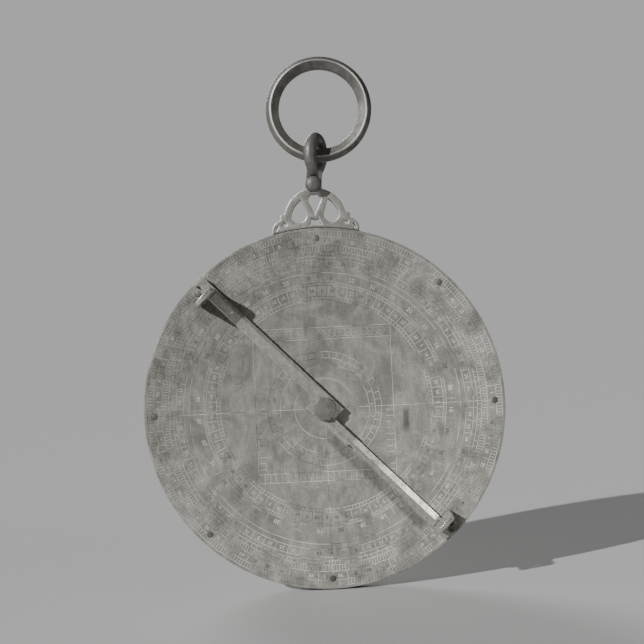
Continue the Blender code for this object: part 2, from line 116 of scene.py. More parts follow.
def weld(obj, distance=0.001 * MM):
    """Merges doubled points and turns every face outwards."""
    only(obj)
    bpy.ops.object.mode_set(mode="EDIT")
    bpy.ops.mesh.select_all(action="SELECT")
    bpy.ops.mesh.remove_doubles(threshold=distance)
    bpy.ops.mesh.normals_make_consistent(inside=False)
    bpy.ops.object.mode_set(mode="OBJECT")
    return obj


def adjust(thing, **settings):
    """Sets several properties of one thing."""
    for name, value in settings.items():
        setattr(thing, name, value)


def cylinder(radius, low, high, sides, place=(0, 0)):
    bpy.ops.mesh.primitive_cylinder_add(
        vertices=sides,
        radius=radius,
        depth=high - low,
        location=(*place, (low + high) / 2),
    )
    return apply_place(bpy.context.object)


def block(middle, size):
    bpy.ops.mesh.primitive_cube_add(size=1, location=middle)
    bpy.context.object.scale = size
    return apply_place(bpy.context.object)


def rotate(piece, *angles):
    piece.rotation_euler = angles
    return apply_place(piece)


def as_mesh(name, curve):
    """A new object of this curve, turned into a mesh."""
    piece = bpy.data.objects.new(name, curve)
    bpy.context.scene.collection.objects.link(piece)
    only(piece)
    bpy.ops.object.convert(target="MESH")
    return bpy.context.object


def join(objects):
    if len(objects) > 1:
        only(*objects)
        bpy.ops.object.join()
    return objects[0]


def combine(piece, tool, operation="DIFFERENCE"):
    """Cuts the tool out of the piece, or adds it, and throws the tool away."""
    boolean = piece.modifiers.new("Boolean", "BOOLEAN")
    adjust(boolean, operation=operation, solver="MANIFOLD", object=tool)
    before = len(piece.data.vertices)
    apply_modifiers(piece)
    if len(piece.data.vertices) == before:
        print("  nothing changed on", piece.name, "by", tool.name)
    bpy.data.objects.remove(tool, do_unlink=True)
    return piece


def bevel(piece, width, segments=2):
    """Rounds every edge where the face turns by more than 60 degrees."""
    modifier = piece.modifiers.new("Bevel", "BEVEL")
    sharp = math.radians(60)
    adjust(modifier, width=width, segments=segments, limit_method="ANGLE", angle_limit=sharp)
    return apply_modifiers(piece)


STAND_BACK = Euler((math.pi / 2, 0, 0))  # bench face towards -Y, bench up to +Z
STAND_FRONT = Euler((math.pi / 2, 0, math.pi))  # bench face towards +Y


def stand(piece, home, turned=STAND_BACK):
    """Stands a bench piece up on its edge and moves its bench origin to its home."""
    piece.rotation_euler = turned
    piece.location = home
    return apply_place(piece)


def finish_piece(piece, angle, name, material, body, slot, *nodes):
    """Smooths a piece below this angle, names it, gives it its metal and its body, and
    hides the solids it stands for."""
    only(piece)
    bpy.ops.object.shade_smooth_by_angle(angle=math.radians(angle))
    piece.name = name
    piece.data.name = name
    piece.data.materials.clear()
    piece.data.materials.append(material)
    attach(piece, body)
    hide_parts(*nodes)
    print(" ", name, len(piece.data.polygons), "faces")
    return piece


# %% [markdown]
# The metals. Old brass is not one colour: clean metal shows where fingers and the alidade
# rub it, and a thin brown-grey skin lies over the rest in blotches. The same effect is
# wanted on every piece, so it is one node group: blotches, mottling, fine grain and
# scratches give the colour, the roughness, how metallic the surface is, and its height.


# %% Node helpers
def feed(socket, value):
    """Sets an input, or links it if the value is another node's output."""
    if isinstance(value, bpy.types.NodeSocket):
        socket.id_data.links.new(value, socket)
    else:
        socket.default_value = value


def add_node(tree, kind, **inputs):
    """A new node, with the inputs whose names are given, an underscore for each space."""
    node = tree.nodes.new("ShaderNode" + kind)
    for name, value in inputs.items():
        feed(node.inputs[name.replace("_", " ")], value)
    return node


def maths(tree, operation, *values, kind="Math"):
    node = add_node(tree, kind)
    node.operation = operation
    for socket, value in zip(node.inputs, values):
        feed(socket, value)
    return node.outputs


def times(tree, first, second):
    return maths(tree, "MULTIPLY", first, second)[0]


def plus(tree, first, second):
    return maths(tree, "ADD", first, second)[0]


def minus(tree, first, second):
    return maths(tree, "SUBTRACT", first, second)[0]


def larger(tree, first, second):
    return maths(tree, "MAXIMUM", first, second)[0]


def size_of(tree, value):
    return maths(tree, "ABSOLUTE", value)[0]


def own_place(tree):
    return add_node(tree, "TexCoord").outputs["Object"]


def spread(tree, value, low, high, out_low=0.0, out_high=1.0):
    """Map Range, clamped: the part of a pattern between low and high is stretched."""
    ends = {"From_Min": low, "From_Max": high, "To_Min": out_low, "To_Max": out_high}
    node = add_node(tree, "MapRange", Value=value, **ends)
    node.interpolation_type = "SMOOTHSTEP"
    return node.outputs["Result"]


def noise(tree, vector, scale, detail=4.0, roughness=0.55, distortion=0.0):
    look = {"Scale": scale, "Detail": detail, "Roughness": roughness, "Distortion": distortion}
    return add_node(tree, "TexNoise", Vector=vector, **look).outputs["Fac"]


def stretched(tree, vector, scale, rotation=(0, 0, 0)):
    return add_node(tree, "Mapping", Vector=vector, Scale=scale, Rotation=rotation).outputs[0]


def mix_colour(tree, share, first, second, blend="MIX"):
    node = add_node(tree, "Mix")
    node.data_type = "RGBA"
    node.blend_type = blend
    for name, value in (("Factor_Float", share), ("A_Color", first), ("B_Color", second)):
        feed(next(s for s in node.inputs if s.identifier == name), value)
    return next(s for s in node.outputs if s.identifier == "Result_Color")


def shaded(tree, colour, tone):
    """The colour times a grey of this tone."""
    grey = add_node(tree, "CombineColor", Red=tone, Green=tone, Blue=tone)
    return mix_colour(tree, 1.0, colour, grey.outputs[0], "MULTIPLY")


def distance_mm(tree, here, middle):
    """How far a point lies from an axis along Y through the middle, in mm."""
    flat = maths(tree, "MULTIPLY", here, (1000.0, 0.0, 1000.0), kind="VectorMath")[0]
    centre = (middle.x / MM, 0, middle.z / MM)
    return maths(tree, "DISTANCE", flat, centre, kind="VectorMath")["Value"]


def new_group(name, inputs, outputs):
    """A shader node group with named sockets: (name, kind, default) going in, (name, kind) out."""
    group = bpy.data.node_groups.new(name, "ShaderNodeTree")
    for label, kind, default in inputs:
        socket = group.interface.new_socket(label, in_out="INPUT", socket_type=kind)
        socket.default_value = default
    for label, kind in outputs:
        group.interface.new_socket(label, in_out="OUTPUT", socket_type=kind)
    entry = group.nodes.new("NodeGroupInput")
    leave = group.nodes.new("NodeGroupOutput")
    return group, entry.outputs, leave.inputs


# %% Old metal, as a node group
NUMBER, COLOUR = "NodeSocketFloat", "NodeSocketColor"


def build_old_metal():
    group, given, out = new_group(
        "old metal",
        [
            ("Clean", COLOUR, (0.5, 0.48, 0.44, 1)),
            ("Skin", COLOUR, (0.2, 0.19, 0.17, 1)),
            ("Skin share", NUMBER, 0.5),
            ("Polish", NUMBER, 0.4),
        ],
        [("Colour", COLOUR), ("Roughness", NUMBER), ("Metallic", NUMBER), ("Height", NUMBER)],
    )
    here = own_place(group)
    blotch = noise(group, here, 58.0, 9.0, 0.70, 0.9)
    streak = noise(group, stretched(group, here, (220.0, 220.0, 60.0)), 1.0, 5.0, 0.6, 0.4)
    blotch = plus(group, times(group, blotch, 0.7), times(group, streak, 0.3))
    mottle = noise(group, here, 420.0, 6.0, 0.70, 0.3)
    grain = noise(group, here, 1900.0, 3.0, 0.6)
    pits = spread(group, noise(group, here, 700.0, 2.0, 0.5), 0.66, 0.78)
    along = stretched(group, here, (2600.0, 130.0, 130.0), (0.3, 0.7, 0.4))
    scratch = spread(group, noise(group, along, 1.0, 2.0), 0.60, 0.74)
    both = plus(group, times(group, mottle, 0.45), blotch)
    edge = minus(group, 1.02, times(group, given["Skin share"], 0.6))
    skin = spread(group, minus(group, both, edge), -0.15, 0.17)
    worn = minus(group, skin, times(group, scratch, 0.35))
    dull = larger(group, worn, times(group, pits, 0.8))
    body = mix_colour(group, dull, given["Clean"], given["Skin"])
    shade = spread(group, mottle, 0.3, 0.7, 0.76, 1.18)
    speck = spread(group, grain, 0.3, 0.7, 0.80, 1.14)
    feed(out["Colour"], shaded(group, body, times(group, shade, speck)))
    rough = plus(group, given["Polish"], times(group, dull, 0.18))
    rough = plus(group, rough, times(group, speck, 0.05))
    feed(out["Roughness"], rough)
    feed(out["Metallic"], spread(group, dull, 0.0, 1.0, 0.62, 0.22))
    dents = plus(group, times(group, grain, 0.5), mottle)
    feed(out["Height"], minus(group, dents, plus(group, pits, scratch)))
    return group


OLD_METAL = build_old_metal()

# %% [markdown]
# Dirt and wax stay in the cuts. How deep a point lies under the plate's face is read from
# its own position, so a second group turns depth into a mask. The mask ends below the
# deepest cut and before the rim, so that side walls stay clean.


# %% Dirt in the cuts, as a node group
CHALK = (0.80, 0.78, 0.73, 1)  # old polish, dried pale
WAX = (0.03, 0.028, 0.024, 1)  # dark dirt


def build_cut_dirt():
    group, given, out = new_group(
        "dirt in cuts",
        [
            ("Face", NUMBER, 0.0),
            ("Inwards", NUMBER, 1.0),
            ("Depth", NUMBER, 0.1),
            ("Reach", NUMBER, RADIUS / MM - 0.5),
        ],
        [("Mask", NUMBER), ("Colour", COLOUR)],
    )
    here = own_place(group)
    patch = spread(group, noise(group, here, 75.0, 3.0), 0.47, 0.60)
    feed(out["Colour"], mix_colour(group, patch, CHALK, WAX))
    split = add_node(group, "SeparateXYZ", Vector=here).outputs
    under = minus(group, times(group, split["Y"], 1000.0), given["Face"])
    under = times(group, under, given["Inwards"])
    share = maths(group, "DIVIDE", under, given["Depth"])[0]
    not_wall = spread(group, share, 1.5, 1.9, 1.0, 0.0)
    in_cut = times(group, spread(group, share, 0.12, 0.85), not_wall)
    on_face = maths(group, "LESS_THAN", distance_mm(group, here, CENTRE), given["Reach"])[0]
    feed(out["Mask"], times(group, in_cut, on_face))
    return group


CUT_DIRT = build_cut_dirt()


# %% [markdown]
# Use leaves its own marks, and some light is painted. The ring's ridge and the throne's edges
# are painted bright, partly as wear and partly as a painted highlight, which on the ring is
# strongest at its sides. The back gets a painted sheen, lighter towards the lower right and
# darker towards the upper left, a darker band beside the alidade's lower arm and one long
# stain. Each mark is a mask worked out from a point's distance to a place on the piece.


# %% Marks of use
def rubbed_ridge(tree, middle, radius, reach):
    """Wear and a painted highlight on the circle of this radius in mm round a point: 1 on it, falling to 0
    within the reach, and weaker at its top and bottom than at its sides.
    """
    here = own_place(tree)
    away = size_of(tree, minus(tree, distance_mm(tree, here, middle), radius))
    split = add_node(tree, "SeparateXYZ", Vector=here).outputs
    aside = size_of(tree, minus(tree, split["X"], middle.x))
    # Painted highlight: a quarter as strong at the ring's top and bottom as at its sides.
    sides = spread(tree, aside, 0.2 * radius * MM, 0.85 * radius * MM, 0.25, 1.0)
    return times(tree, spread(tree, away, 0.0, reach, 1.0, 0.0), sides)


def reach_along(tree, *direction):
    """How far a point lies from the disc's centre along a direction."""
    from_middle = maths(tree, "SUBTRACT", own_place(tree), CENTRE, kind="VectorMath")[0]
    return maths(tree, "DOT_PRODUCT", from_middle, direction, kind="VectorMath")["Value"]


def between(tree, value, low, high, soft):
    """1 from low to high, with a soft edge inside each end."""
    rise = spread(tree, value, low, low + soft)
    return times(tree, rise, spread(tree, value, high - soft, high, 1.0, 0.0))


def back_tone(tree):
    """The back's tone: a painted sheen that lightens it towards the lower right and darkens it
    towards the upper left, a darker band beside the alidade's lower arm, and one long stain
    that is darker still."""
    # Painted light: lighter towards the lower right, darker towards the upper left.
    painted_sheen = spread(tree, reach_along(tree, 0.6, 0.0, -0.8), -RADIUS, 0.8 * RADIUS, 0.76, 1.27)
    forward = reach_along(tree, math.cos(ARM_ANGLE), 0.0, math.sin(ARM_ANGLE))
    beside = reach_along(tree, math.sin(ARM_ANGLE), 0.0, -math.cos(ARM_ANGLE))
    length = between(tree, forward, 4 * MM, 82 * MM, 14 * MM)
    band = times(tree, length, between(tree, beside, 4.2 * MM, 12.4 * MM, 2.4 * MM))
    across = between(tree, reach_along(tree, 1, 0, 0), 38.2 * MM, 42.2 * MM, 1.2 * MM)
    upright = between(tree, reach_along(tree, 0, 0, 1), -14.0 * MM, 0.5 * MM, 4.5 * MM)
    spot = times(tree, across, upright)
    stain = larger(tree, times(tree, band, 0.42), times(tree, spot, 0.55))
    return times(tree, painted_sheen, minus(tree, 1.0, stain))


# %% [markdown]
# Every metal is that one group with its own two colours, its share of skin and its
# polish, and with the dirt, the wear, the painted highlights or the painted sheen that
# its piece has.


# %% Metals
def under_face(tree, place):
    """The dirt group for (face in mm, +1 or -1 for the way into the metal, depth in mm)."""
    dirt = add_node(tree, "Group")
    dirt.node_tree = CUT_DIRT
    for label, value in zip(("Face", "Inwards", "Depth", "Reach"), place):
        dirt.inputs[label].default_value = value
    return dirt.outputs


def old_metal(name, clean, skin, skin_share, polish, cuts=None, ridge=None, edges=None,
              painted_sheen=False):
    """A metal. cuts and edges are places for the dirt group: dirt lies in the cuts, and the
    edges are painted bright, as wear and as a painted highlight. ridge is (middle, radius,
    reach) of a circle painted bright the same way. The last flag adds the back's painted
    sheen and its stains."""
    material = bpy.data.materials.new(name)
    material.use_nodes = True
    tree = material.node_tree
    shader = tree.nodes["Principled BSDF"]
    group = add_node(tree, "Group")
    group.node_tree = OLD_METAL
    for socket, value in zip(group.inputs, ((*clean, 1), (*skin, 1), skin_share, polish)):
        feed(socket, value)
    colour, rough, metallic, height = group.outputs
    if cuts:
        dirt = under_face(tree, cuts)
        mask = dirt["Mask"]
        colour = mix_colour(tree, mask, colour, dirt["Colour"])
        rough = plus(tree, rough, times(tree, mask, 0.3))
        metallic = minus(tree, metallic, mask)
    # Ridge or edges: painted bright, as wear and as a painted highlight.
    if ridge or edges:
        edge_glint_and_wear = rubbed_ridge(tree, *ridge) if ridge else under_face(tree, edges)["Mask"]
        colour = mix_colour(tree, edge_glint_and_wear, colour, WEAR_AND_GLINT)
        rough = minus(tree, rough, times(tree, edge_glint_and_wear, 0.1))
    # Painted sheen on the back, with its darker band and its stain.
    if painted_sheen:
        colour = shaded(tree, colour, back_tone(tree))
    bump = add_node(tree, "Bump", Distance=RELIEF, Height=height)
    finish = {"Base Color": colour, "Roughness": rough, "Metallic": metallic}
    for label, value in {**finish, "Normal": bump.outputs[0]}.items():
        feed(shader.inputs[label], value)
    return material


RELIEF = 0.02 * MM  # how deep the fine dents and scratches seem
# Near-white: bared metal, and a painted highlight on the ring's ridge and the throne's edges.
WEAR_AND_GLINT = (0.86, 0.85, 0.81, 1)
CLEAN_BRASS = (0.43, 0.415, 0.38)
BRASS_SKIN = (0.17, 0.16, 0.145)
DARK_BRONZE = (0.23, 0.22, 0.20)
BRONZE_SKIN = (0.07, 0.066, 0.06)
back_metal = old_metal(
    "engraved brass", CLEAN_BRASS, BRASS_SKIN, 0.58, 0.52, cuts=(BACK / MM, 1.0, 0.16), painted_sheen=True
)
front_metal = old_metal(
    "engraved rim brass", CLEAN_BRASS, BRASS_SKIN, 0.5, 0.46, cuts=(FRONT / MM, -1.0, 0.16)
)
plain_metal = old_metal("old brass", CLEAN_BRASS, BRASS_SKIN, 0.5, 0.44)
# The throne's rounded edges get wear and a painted highlight.
throne_metal = old_metal(
    "throne brass", CLEAN_BRASS, BRASS_SKIN, 0.5, 0.34, edges=(BACK / MM, 1.0, 0.4, 200.0)
)
rubbed_metal = old_metal("rubbed brass", (0.50, 0.485, 0.44), (0.20, 0.19, 0.17), 0.36, 0.18)
dark_metal = old_metal("forged bronze", DARK_BRONZE, BRONZE_SKIN, 0.6, 0.34)
ring_low, ring_high = (Vector(corner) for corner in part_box("suspension_ring"))
# The ring's ridge gets wear and a painted highlight, strongest at its sides.
ring_metal = old_metal(
    "ring bronze", DARK_BRONZE, BRONZE_SKIN, 0.55, 0.38,
    ridge=((ring_low + ring_high) / 2, (ring_high.x - ring_low.x) / 2 / MM - 2.45, 0.75),
)
rivet_metal = old_metal("rivet copper", (0.24, 0.225, 0.20), (0.07, 0.065, 0.055), 0.6, 0.45)
silver_metal = old_metal("old silver", (0.74, 0.73, 0.70), (0.22, 0.21, 0.19), 0.45, 0.30)
print("materials", [material.name for material in bpy.data.materials])

# %% [markdown]
# Camera, floor and light. The camera looks square at the back, a little above the disc's
# centre and tipped by three degrees. The key light grazes the metal from the upper left,
# because only a low light shows engraving. A small lamp at the right brightens the
# alidade's bevels, and a soft sun behind lights the star map's side.


# %% Camera
FILM = 36.0  # width of the film, in mm
VIEW_DISTANCE = 0.54
FIELD = 0.3205  # width of what the camera sees at the disc, in metres


def make_camera():
    aim = CENTRE + Vector((0.0008, 0, 0.0430))
    bpy.ops.object.camera_add(location=aim - Vector((0, VIEW_DISTANCE, 0)))
    camera = bpy.context.object
    lens = FILM * (VIEW_DISTANCE + BACK) / FIELD
    adjust(camera.data, sensor_width=FILM, lens=lens, clip_start=0.01)
    camera.rotation_euler = Euler((math.pi / 2, 0, 0))
    camera.rotation_euler.rotate_axis("Z", math.radians(-2.86))
    bpy.context.scene.camera = camera


make_camera()


# %% Floor and light
def make_floor():
    bpy.ops.mesh.primitive_plane_add(size=60.0, location=(0, 0, cad_low.z - 0.0005))
    floor = bpy.context.object
    floor.name = "floor"
    material = bpy.data.materials.new("pale floor")
    material.use_nodes = True
    shader = material.node_tree.nodes["Principled BSDF"]
    matt = {"Base Color": (0.42, 0.42, 0.417, 1), "Specular IOR Level": 0.0, "Roughness": 0.9}
    for label, value in matt.items():
        feed(shader.inputs[label], value)
    floor.data.materials.append(material)


def make_lamp(kind, name, direction, power, **settings):
    """A lamp that looks at the disc's centre from a metre away, and that isn't seen itself.
    A sun's light is even, so the floor keeps one tone out to its horizon."""
    place = CENTRE + Vector(direction).normalized()
    bpy.ops.object.light_add(type=kind, location=place)
    lamp = bpy.context.object
    lamp.name = name
    lamp.visible_camera = False
    adjust(lamp.data, energy=power, **settings)
    lamp.rotation_euler = (CENTRE - place).to_track_quat("-Z", "Y").to_euler()


def make_world():
    """A dim grey studio whose far end is seen as pale as the floor."""
    world = bpy.data.worlds.new("studio")
    bpy.context.scene.world = world
    world.use_nodes = True
    tree = world.node_tree
    dim = tree.nodes["Background"]
    dim.inputs["Color"].default_value = (AMBIENT, AMBIENT, AMBIENT, 1)
    pale = add_node(tree, "Background", Color=(BACKDROP, BACKDROP, BACKDROP, 1))
    mix = add_node(tree, "MixShader", Fac=add_node(tree, "LightPath").outputs["Is Camera Ray"])
    feed(mix.inputs[1], dim.outputs[0])
    feed(mix.inputs[2], pale.outputs[0])
    feed(tree.nodes["World Output"].inputs["Surface"], mix.outputs[0])


AMBIENT = 0.035
BACKDROP = 0.44
make_floor()
make_lamp("SUN", "key", (-0.69, -0.588, 0.44), 5.0, angle=math.radians(1))
make_lamp("SUN", "behind", (-0.5, 1.0, 0.6), 2.2, angle=math.radians(30))
make_lamp("AREA", "side", (0.77, -0.54, 0.38), 1.0, shape="DISK", size=0.12)
make_world()

# %% [markdown]
# Engraving tools. A graver leaves a V-shaped cut. A ring line is cut with a four-sided
# torus that lies half in the face, a row of marks with four-sided bars that an Array
# modifier turns round the centre, and numerals with extruded letters. One Boolean for
# each kind takes them out of the plate, so no two cutters of a kind may overlap.

# %% Engraving tools
FINE = 0.14 * MM  # depth of a fine cut, which is half its width
ROUND = 256  # sides of the big circles


def ring_tool(radius, depth=FINE, middle=(0, 0)):
    bpy.ops.mesh.primitive_torus_add(
        location=(middle[0], middle[1], 0),
        major_radius=radius,
        minor_radius=depth,
        major_segments=max(48, int(ROUND * min(1.0, radius / (60 * MM)))),
        minor_segments=4,
    )
    return bpy.context.object


def cut_rings(plate, radii, middle=(0, 0)):
    """Ring lines of these radii in mm round one middle."""
    engrave(plate, [ring_tool(radius * MM, FINE, middle) for radius in radii])


def bar_tool(start, end):
    """A straight cut between two points of the face."""
    along = Vector(end) - Vector(start)
    middle = (Vector(start) + Vector(end)) / 2
    bpy.ops.mesh.primitive_cylinder_add(
        vertices=4,
        radius=FINE,
        depth=along.length,
        location=(middle.x, middle.y, 0),
        rotation=(0, math.pi / 2, math.atan2(along.y, along.x)),
    )
    return bpy.context.object


def mark_tools(count, inner, outer, start):
    """Radial marks at even steps all round."""
    turn = math.radians(start)
    away = Vector((math.cos(turn), math.sin(turn)))
    mark = apply_place(bar_tool(away * inner, away * outer))
    bpy.ops.object.empty_add(rotation=(0, 0, math.radians(360 / count)))
    pivot = bpy.context.object
    array = mark.modifiers.new("Array", "ARRAY")
    adjust(array, count=count, use_relative_offset=False)
    adjust(array, use_object_offset=True, offset_object=pivot)
    apply_modifiers(mark)
    bpy.data.objects.remove(pivot, do_unlink=True)
    return mark


def text_tools(labels, radius, size, step, start, squeeze=1.0):
    """Numerals that stand round the centre, clockwise from the start angle."""
    letters = []
    for number, label in enumerate(labels):
        turn = math.radians(start - number * step)
        place = (radius * math.cos(turn), radius * math.sin(turn), 0)
        bpy.ops.object.text_add(location=place, rotation=(0, 0, turn - math.pi / 2))
        letter = bpy.context.object
        adjust(letter.data, body=label, size=size, extrude=FINE, resolution_u=2)
        adjust(letter.data, align_x="CENTER", align_y="CENTER")
        letter.scale.x = squeeze
        letters.append(letter)
    only(*letters)
    bpy.ops.object.convert(target="MESH")
    tools = join(letters)
    return weld(apply_place(tools), 0.0005 * MM)


def engrave(plate, tools):
    """Cuts a list of tools that don't overlap each other, in one pass."""
    return combine(plate, join(tools))


print("a fine cut is", FINE / MM, "mm deep")

# %% [markdown]
# The back. Its scales are, from the rim inwards: degrees of altitude with a numeral at
# every fifth, the twelve signs with thirty degrees each, and the calendar with its days,
# whose circles stand two millimetres above the centre.
# A horizon line and a plumb line meet at the pin, the shadow square hangs below, and a
# band of plain ornament fills the place above it.

# %% Cut the back plate
QUADRANT = [str(value) for value in range(5, 95, 5)]
THIRTIES = ["5", "10", "15", "20", "25", "30"] * 12
CALENDAR_UP = 2.0 * MM  # how far the calendar's centre stands above the pin


def bench_disc(radius, thickness, hole, edge):
    """A disc whose top face is the bench's zero, with a hole in the middle."""
    disc = bevel(cylinder(radius, -thickness, 0, ROUND), edge)
    return combine(disc, cylinder(hole, -5 * MM, 5 * MM, 48))


def drill(piece, points, radius):
    """Takes a round hole out of the piece at each point."""
    drills = [cylinder(radius, -10 * MM, 10 * MM, 20, point) for point in points]
    return combine(piece, join(drills))


def rivet_places(mirror=1):
    places = []
    for number in range(1, 9):
        low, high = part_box(f"limb_rivet_{number}")
        places.append((mirror * ((low[0] + high[0]) / 2 - CENTRE.x), (low[2] + high[2]) / 2 - CENTRE.z))
    return places


def raised(tool, up):
    """Moves a finished cutter up the face, for circles whose centre isn't the pin."""
    tool.location.y = up
    return apply_place(tool)


def cut_rows(plate, marks, numbers=(), up=0.0):
    """Rows of marks as (count, inner, outer, start), and of numerals as (labels, radius,
    size, start), all in mm and degrees."""
    for count, inner, outer, start in marks:
        row = mark_tools(count, inner * MM, outer * MM, start)
        engrave(plate, [raised(row, up)])
    for labels, radius, size, start in numbers:
        row = text_tools(labels, radius * MM, size * MM, 360 / len(labels), start)
        engrave(plate, [raised(row, up)])


# %% Scales, calendar and lines
def cut_scales(plate):
    cut_rings(plate, (88.4, 85.5, 81.2, 78.0, 76.0, 74.1, 70.3, 67.6, 28.3, 25.2, 22.2, 15.0))
    marks = [
        (360, 85.8, 88.1, 0.0), (72, 81.5, 85.2, 0.0), (360, 78.3, 80.9, 0.5),
        (180, 76.3, 77.7, 1.0), (72, 74.4, 75.7, 2.5), (72, 70.6, 73.8, 2.5),
        (48, 25.5, 28.0, 0.0), (24, 22.5, 24.9, 3.0),
    ]
    cut_rows(plate, marks, [(THIRTIES, 72.2, 2.5, 90.0)])
    rim = []
    for quarter in (0, 180):
        for labels, start in ((QUADRANT, 177.5), (QUADRANT[::-1], 87.5)):
            rim.append(text_tools(labels, 83.35 * MM, 2.7 * MM, 5.0, start - quarter, squeeze=0.9))
    engrave(plate, rim)


def cut_calendar(plate):
    """The calendar's circles stand off centre, because the sun's course does."""
    cut_rings(plate, (60.6, 59.1, 53.8, 52.1), (0, CALENDAR_UP))
    marks = [
        (12, 60.9, 65.2, 0.0), (365, 59.4, 60.3, 0.3), (72, 54.1, 58.8, 1.0),
        (180, 52.4, 53.5, 0.4),
    ]
    numbers = [(["10", "20", "30"] * 12, 62.9, 3.0, 85.0), (THIRTIES, 56.4, 2.3, 88.5)]
    cut_rows(plate, marks, numbers, CALENDAR_UP)


def cut_lines(plate):
    reach = 86.0 * MM
    side = 34.3 * MM
    foot = -36.0 * MM
    levels = (foot, -31.5 * MM, 34.6 * MM, 40.4 * MM)
    engrave(plate, [bar_tool((-reach, 0), (reach, 0))])
    engrave(plate, [bar_tool((0, -reach), (0, -5.0 * MM))])
    engrave(plate, [bar_tool((-side, y), (side, y)) for y in levels])
    engrave(plate, [bar_tool((x, foot), (x, levels[-1])) for x in (-side, side)])
    steps = [side * share / 12 for share in range(-11, 12) if share]
    engrave(plate, [bar_tool((x, foot + 0.3 * MM), (x, -31.8 * MM)) for x in steps])
    rungs = [y * MM for y in range(-29, 0, 3)]
    engrave(plate, [bar_tool((sign * (side - 4.2 * MM), y), (sign * (side - 0.3 * MM), y))
                    for y in rungs for sign in (-1, 1)])


# %% Ornament, and the whole plate
def cut_ornament(plate):
    """A chain of linked rings with a dot in each, where an inscription would stand."""
    middle = 37.5 * MM
    rings = [(x * 2.7 * MM, middle) for x in range(-11, 12)]
    for links in (rings[0::2], rings[1::2]):
        engrave(plate, [ring_tool(1.9 * MM, 0.8 * FINE, place) for place in links])
    dots = []
    for x, y in rings:
        bpy.ops.mesh.primitive_cone_add(
            vertices=10, radius1=0.0, radius2=0.4 * MM, depth=0.4 * MM, location=(x, y, 0)
        )
        dots.append(bpy.context.object)
    engrave(plate, dots)


def make_back_plate():
    plate = bench_disc(RADIUS, BACK_INSIDE - BACK, 3.4 * MM, 0.35 * MM)
    cut_scales(plate)
    cut_calendar(plate)
    cut_lines(plate)
    cut_ornament(plate)
    drill(plate, rivet_places(), 1.65 * MM)
    stand(plate, BACK_HOME)
    finish_piece(plate, 25, "engraved_back", back_metal, "mater", "worn brass", "back_plate")


make_back_plate()

# %% [markdown]
# More bench tools. Turned work is drawn as half a section, by extruding a point from
# corner to corner, and spun round the bench's upright axis. Sheet work is a flat curve
# with its holes, given a thickness, and becomes a mesh before anything is cut from it.


# %% Turned and sheet work
def lathe(profile, steps=64):
    """Spins a half section of (radius, height) corners. Closed sections end as they start."""
    bpy.ops.mesh.primitive_plane_add(size=MM)
    piece = bpy.context.object
    bpy.ops.object.mode_set(mode="EDIT")
    bpy.ops.mesh.merge(type="CENTER")
    bpy.ops.transform.translate(value=(profile[0][0], 0, profile[0][1]))
    for (radius, height), (next_radius, next_height) in zip(profile, profile[1:]):
        step = (next_radius - radius, 0, next_height - height)
        bpy.ops.mesh.extrude_vertices_move(TRANSFORM_OT_translate={"value": step})
    bpy.ops.mesh.select_all(action="SELECT")
    bpy.ops.mesh.spin(steps=steps, angle=2 * math.pi, center=(0, 0, 0), axis=(0, 0, 1))
    bpy.ops.object.mode_set(mode="OBJECT")
    return weld(piece)


def in_mm(points):
    return [(x * MM, y * MM) for x, y in points]


def arc(middle, radius, start, end, steps):
    """Points of an arc, both ends included, in degrees anticlockwise."""
    turns = [math.radians(start + (end - start) * i / steps) for i in range(steps + 1)]
    return [(middle[0] + radius * math.cos(t), middle[1] + radius * math.sin(t)) for t in turns]


def circle(middle, radius, steps=32):
    return arc(middle, radius, 0, 360, steps)[:-1]


def mirrored(points):
    return [(-x, y) for x, y in reversed(points)]


def half_turned(points):
    return [(-x, -y) for x, y in points]


def sheet_metal(loops, low, high, edge=0.0):
    """A flat piece between two heights. The first loop, in mm, is its outline, and the
    others are its holes. edge rounds its corners, without letting it grow."""
    curve = bpy.data.curves.new("sheet", "CURVE")
    adjust(curve, dimensions="2D", fill_mode="BOTH", extrude=(high - low) / 2 - edge)
    adjust(curve, bevel_depth=edge, bevel_resolution=2, offset=-edge)
    for loop in loops:
        spline = curve.splines.new("POLY")
        spline.points.add(len(loop) - 1)
        for point, (x, y) in zip(spline.points, in_mm(loop)):
            point.co = (x, y, 0, 1)
        spline.use_cyclic_u = True
    piece = as_mesh("sheet", curve)
    piece.location.z = (low + high) / 2
    return weld(apply_place(piece), 0.002 * MM)


# %% [markdown]
# The suspension ring has a keeled section: two flat bands meet in a ridge on each side,
# and the ridge is painted bright, as wear and as a painted highlight. It is turned from
# its closed section.


# %% Suspension ring
def make_ring():
    low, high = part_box("suspension_ring")
    outer = (high[0] - low[0]) / 2 / MM
    keel = (high[1] - low[1]) / 2 / MM - 0.05
    upper = [
        (outer, 0.55),
        (outer - 0.2, 1.3),
        (outer - 2.2, keel - 0.22),
        (outer - 2.42, keel - 0.04),
        (outer - 2.62, keel),
        (outer - 2.82, keel - 0.04),
        (outer - 3.05, keel - 0.2),
        (outer - 6.2, 1.9),
        (outer - 6.5, 1.1),
    ]
    section = upper + [(radius, -height) for radius, height in reversed(upper)] + upper[:1]
    ring = lathe(in_mm(section), 144)
    middle = Vector((low[0] + high[0], low[1] + high[1], low[2] + high[2])) / 2
    stand(ring, middle)
    finish_piece(ring, 18, "keeled_ring", ring_metal, "ring", "dark bronze", "suspension_ring")


make_ring()

# %% [markdown]
# The shackle is forged: a thick bar bent into a bow, flattened into an eye at each end.
# A curve with a round bevel gives the bow, short cylinders and straps give the eyes, and
# a remesh with some smoothing runs them together as hammering does.


